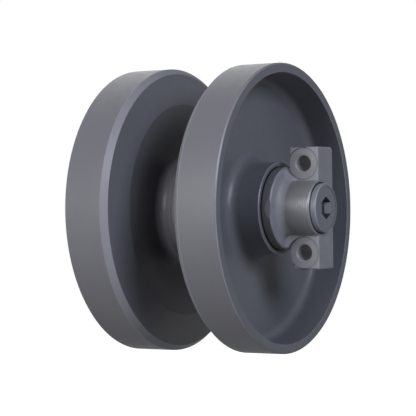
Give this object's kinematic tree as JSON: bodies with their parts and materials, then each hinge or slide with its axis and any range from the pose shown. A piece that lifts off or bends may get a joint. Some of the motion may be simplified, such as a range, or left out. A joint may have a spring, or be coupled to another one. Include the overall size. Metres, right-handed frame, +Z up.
{
  "type": "track rear idler",
  "caption": "Rear idler for a rubber track: dished rims welded to a centre tube, turning on a sealed oil-filled axle held by bolt-on brackets with flat backs.",
  "frame": {"origin": "middle of the axle, halfway between the two wheels", "axes": "+Y along the axle, +X the way the brackets' flat mounting faces look, +Z up"},
  "size_m": [0.35, 0.3074, 0.35],
  "materials": {
    "wheel_paint": "satin",
    "weld_paint": "satin",
    "bracket_paint": "satin",
    "cap_paint": "satin",
    "axle_steel": "ground",
    "pin_steel": "ground",
    "bushing_bronze": "turned",
    "washer_copper": "satin",
    "seal_iron": "lapped",
    "seal_rubber": "satin"
  },
  "bodies": {
    "axle_group": {"axle": "axle_steel", "left_fixed_seal": "seal_iron", "right_fixed_seal": "seal_iron", "left_fixed_toric": "seal_rubber", "right_fixed_toric": "seal_rubber", "left_axle_oring": "seal_rubber", "right_axle_oring": "seal_rubber", "left_bracket": "bracket_paint", "right_bracket": "bracket_paint", "left_lock_pin": "pin_steel", "right_lock_pin": "pin_steel", "left_end_cap": "cap_paint", "right_end_cap": "cap_paint", "left_cap_washer": "washer_copper", "right_cap_washer": "washer_copper"},
    "wheel_group": {"centre_tube": "wheel_paint", "left_wheel": "wheel_paint", "right_wheel": "wheel_paint", "left_weld": "weld_paint", "right_weld": "weld_paint", "left_bushing": "bushing_bronze", "right_bushing": "bushing_bronze", "left_turning_seal": "seal_iron", "right_turning_seal": "seal_iron", "left_turning_toric": "seal_rubber", "right_turning_toric": "seal_rubber"}
  },
  "joints": [
    {"name": "wheel_spin", "type": "hinge", "parent": "axle_group", "child": "wheel_group", "pos_m": [0, 0, 0], "axis": [0, 1, 0], "continuous": true}
  ]
}
